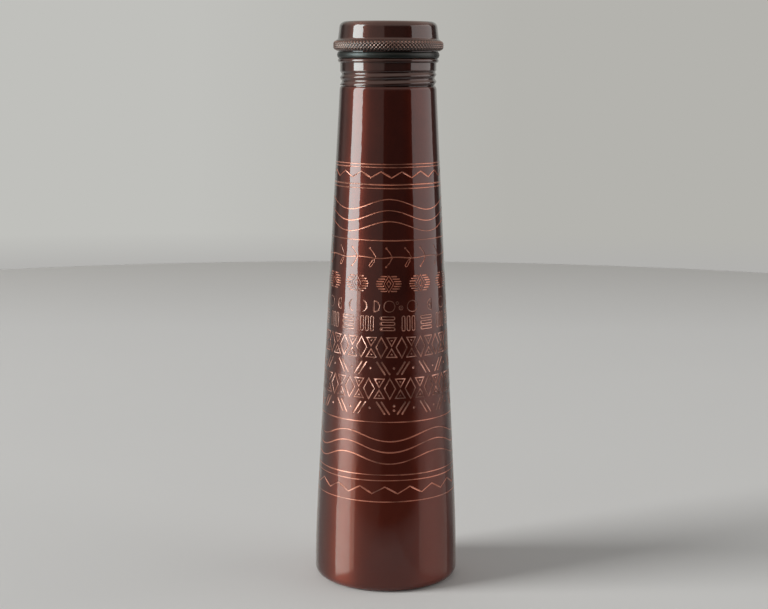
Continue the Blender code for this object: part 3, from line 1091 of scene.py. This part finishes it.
def gasket_rubber():
    """Dark green-black rubber, fine-grained, with a little dust."""
    made, nodes, shader = new_material("gasket_rubber")
    grain = nodes.noise(5000.0, detail=2.0)
    dust = nodes.noise(330.0, detail=5.0, roughness=0.7)
    tone = nodes.mix(nodes.ramp(grain, 0.3, 0.7), DARK_RUBBER, PALE_RUBBER)
    tone = nodes.mix(nodes.ramp(dust, 0.56, 0.8, 0.0, 0.35), tone, RUBBER_DUST)
    nodes.fill(
        shader, Base_Color=tone, Roughness=nodes.ramp(dust, 0.3, 0.7, 0.3, 0.45),
        Normal=nodes.bump(grain, 0.02 * MM, 0.5),
    )
    return made


# ==== Stage, light and camera ====

FLOOR_RADIUS = 1.27
PALE_TABLE = linear(223, 223, 222)
PALER_TABLE = linear(229, 229, 227)
DULL_TABLE = linear(210, 209, 206)
DARK_TABLE = (0.02, 0.02, 0.02, 1.0)
WARM_TABLE = (1.0, 0.9, 0.83, 1.0)    # tint of the light that it lets through
FAR_FADE = (0.75, 1.25)            # the table gets duller from this distance to this one
FRONT_FADE = (-0.12, -0.22)        # in reflections it goes dark on the way from here to here
# Behind the bottle and to its right, reflections see a painted shadow of the bottle on the table:
BEHIND_FADE = (-0.08, 0.0)         # and dim on the way back from here to here,
ASIDE_FADE = (0.0, 0.10)           # and to the right from here to here
REFLECTED_SHADOW_SHARE = 0.42                   # how dim it gets there
SIDE_START, SIDE_FULL = 0.042, 0.05    # how far aside it begins to let light through, and does fully
LEFT_SHARE, RIGHT_SHARE = 0.39, 0.25   # how much light it lets through on either side
PALE_ROOM = linear(184, 184, 179)
BRIGHT_WALL = linear(192, 192, 188)
DULL_WALL = linear(180, 179, 174)
FAR_TABLE = linear(177, 176, 174)  # the table past its edge, up to the horizon
DIM_ROOM = (0.140, 0.139, 0.135, 1.0)
DARK_ROOM = (0.062, 0.056, 0.054, 1.0)
FLAG = (0.02, 0.018, 0.018, 1.0)
CEILING = (0.80, 0.66, 0.58, 1.0)
GLOW = (0.43, 0.36, 0.33, 1.0)
CAMERA_PLACE = (-0.0016, -0.810, 0.2738)
CAMERA_PITCH = 9.08
CAMERA_ROLL = 0.27
CAMERA_LENS = 73.57                # millimetres, for a picture 36 mm wide


def table_top():
    """Pale, nearly matte table, a little darker far away. In reflections it acts as if it were small: it
    goes dark in front of the bottle, and on both sides of the bottle it lets part of the side lights'
    rays through from below. Behind the bottle on the right, reflections see a painted shadow of the
    bottle."""
    made, nodes, shader = new_material("table_top")
    cloud = nodes.noise(2.2, detail=3.0)
    place = nodes.split("Object")
    across, away = place["X"], place["Y"]
    pale = nodes.mix(cloud, PALE_TABLE, PALER_TABLE)
    pale = nodes.mix(nodes.ramp(away, *FAR_FADE), pale, DULL_TABLE)
    front = nodes.ramp(away, *FRONT_FADE)
    behind = nodes.ramp(away, *BEHIND_FADE)
    # painted shadow of the bottle behind it on the right, seen only in reflections
    right = nodes.math("MULTIPLY", nodes.ramp(across, *ASIDE_FADE, 0.0, REFLECTED_SHADOW_SHARE), behind)
    leftward = nodes.ramp(across, -SIDE_START, -SIDE_FULL, 0.0, LEFT_SHARE)
    rightward = nodes.ramp(across, SIDE_START, SIDE_FULL, 0.0, RIGHT_SHARE)
    reflected = nodes.add("ShaderNodeLightPath").outputs["Is Glossy Ray"]
    darkness = nodes.math("MULTIPLY", nodes.math("MAXIMUM", front, right), reflected)
    colour = nodes.mix(darkness, pale, DARK_TABLE)
    nodes.fill(shader, Base_Color=colour, Roughness=0.8, Specular_IOR_Level=0.05)
    seen = nodes.add("ShaderNodeMixShader")
    aside = nodes.math("MAXIMUM", leftward, rightward)
    nodes.put(seen.inputs[0], nodes.math("MULTIPLY", aside, reflected))
    nodes.put(seen.inputs[1], shader.outputs[0])
    nodes.put(seen.inputs[2], nodes.add("ShaderNodeBsdfTransparent", Color=WARM_TABLE).outputs[0])
    nodes.put(nodes.tree.nodes["Material Output"].inputs["Surface"], seen.outputs[0])
    return made


def floor(finish):
    bm = bmesh.new()
    bmesh.ops.create_circle(bm, cap_ends=True, segments=256, radius=FLOOR_RADIUS)
    mesh = bpy.data.meshes.new("floor")
    bm.to_mesh(mesh)
    bm.free()
    mesh.materials.append(finish)
    made = new_object("floor", mesh)


def soft_panel(name, direction, distance, width, low, high, radiance, tint, reaches="all"):
    """An upright light that faces the bottle. direction is in degrees to the right of the front. It may
    reach only the "glossy" or only the "diffuse" surfaces."""
    light = bpy.data.lights.new(name, "AREA")
    light.shape = "RECTANGLE"
    light.size, light.size_y = width, high - low
    light.energy = radiance * math.pi * width * (high - low)
    light.color = tint
    panel = new_object(name, light)
    panel.location = on_wall(direction, (low + high) / 2, distance)
    panel.rotation_euler = (math.pi / 2, 0, math.radians(direction))
    panel.visible_camera = False
    panel.visible_glossy = reaches != "diffuse"
    panel.visible_diffuse = reaches != "glossy"


def overhead(radiance, radius, place):
    """A round light that faces down and draws no highlight."""
    light = bpy.data.lights.new("overhead", "AREA")
    light.shape = "DISK"
    light.size = 2 * radius
    light.energy = radiance * math.pi * math.pi * radius ** 2
    panel = new_object("overhead", light)
    panel.location = place
    panel.visible_camera = False
    panel.visible_glossy = False


def world_light():
    """A pale wall over a far table for the camera, and a dim room for diffuse light. Glossy surfaces
    see a dark room, so that the panels draw clear highlights. In it are a pale wall behind the bottle,
    a faint glow at the left, a darker flag at the far right and a bright ceiling."""
    world = bpy.data.worlds.new("room")
    world.use_nodes = True
    bpy.context.scene.world = world
    nodes = Nodes(world.node_tree)
    rays = nodes.add("ShaderNodeLightPath")
    way = nodes.split("Generated")
    leftwards = nodes.ramp(way["X"], -0.155, -0.185)
    glow = nodes.math("MULTIPLY", leftwards, nodes.ramp(way["Y"], 0.65, 0.45))
    room = nodes.mix(glow, DARK_ROOM, GLOW)
    room = nodes.mix(nodes.ramp(way["X"], 0.55, 0.7), room, FLAG)
    room = nodes.mix(nodes.ramp(way["Z"], 0.2, 0.65), room, CEILING)
    room = nodes.mix(nodes.ramp(way["Y"], 0.77, 0.85), room, PALE_ROOM)
    wall = nodes.mix(nodes.ramp(way["X"], -0.12, 0.08), BRIGHT_WALL, DULL_WALL)
    wall = nodes.mix(nodes.ramp(way["Z"], -0.112, -0.135), wall, FAR_TABLE)
    lit = nodes.mix(rays.outputs["Is Camera Ray"], DIM_ROOM, wall)
    seen = nodes.mix(rays.outputs["Is Glossy Ray"], lit, room)
    nodes.fill(world.node_tree.nodes["Background"], Color=seen)


def camera():
    data = bpy.data.cameras.new("camera")
    data.sensor_width = 36.0
    data.lens = CAMERA_LENS
    made = new_object("camera", data)
    made.location = CAMERA_PLACE
    made.rotation_mode = "QUATERNION"
    tilt = Quaternion((1, 0, 0), math.radians(90 - CAMERA_PITCH))
    made.rotation_quaternion = tilt @ Quaternion((0, 0, 1), math.radians(CAMERA_ROLL))
    bpy.context.scene.camera = made


def main():
    bpy.context.scene.view_settings.view_transform = "Standard"
    body_finish = lacquered_copper("lacquered_body", DARK_COPPER, WARM_COPPER, 1.5, 130 * MM)
    neck_finish = lacquered_copper("lacquered_neck", BROWN_COPPER, TAN_COPPER, 1.64)
    etched, bare = etched_copper(), bare_copper()
    made = [
        (body_shell([body_finish, etched, bare]), "bottle", "body_shell", "copper_lacquered"),
        (neck_collar([neck_finish]), "bottle", "neck_collar", "copper_lacquered"),
        (base_disc([bare]), "bottle", "base_disc", "copper_bare"),
        (cap_gasket([gasket_rubber()]), "gasket", "cap_gasket", "gasket_rubber"),
        (cap_shell([neck_finish]), "cap", "cap_shell", "copper_lacquered"),
        (cap_knurled_ring([knurled_copper()]), "cap", "cap_knurled_ring", "copper_knurled"),
        (cap_plug_sleeve([bare, neck_finish]), "cap", "cap_plug_sleeve", "copper_bare"),
        (cap_plug_disc([bare]), "cap", "cap_plug_disc", "copper_bare"),
    ]
    for piece, body, node, finish in made:
        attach(piece, body)
        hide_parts(node)
    floor(table_top())
    soft_panel(
        "left_softbox", direction=-75, distance=1.5, width=0.75, low=-0.7, high=1.3,
        radiance=8.6, tint=(0.83, 1.0, 1.0), reaches="glossy",
    )
    soft_panel(
        "left_wing", direction=-57, distance=1.5, width=0.22, low=-0.7, high=0.08,
        radiance=4.6, tint=(1.0, 0.80, 0.70), reaches="glossy",
    )
    soft_panel(
        "left_key", direction=-75, distance=4.0, width=2.0, low=0.0, high=3.5,
        radiance=11.1, tint=(1.0, 0.995, 0.985), reaches="diffuse",
    )
    soft_panel(
        "right_panel", direction=87, distance=1.5, width=1.87, low=-0.7, high=1.2,
        radiance=1.35, tint=(1.0, 0.98, 0.96),
    )
    overhead(radiance=0.60, radius=0.8, place=(0.0, 0.9, 1.9))
    world_light()
    camera()


main()
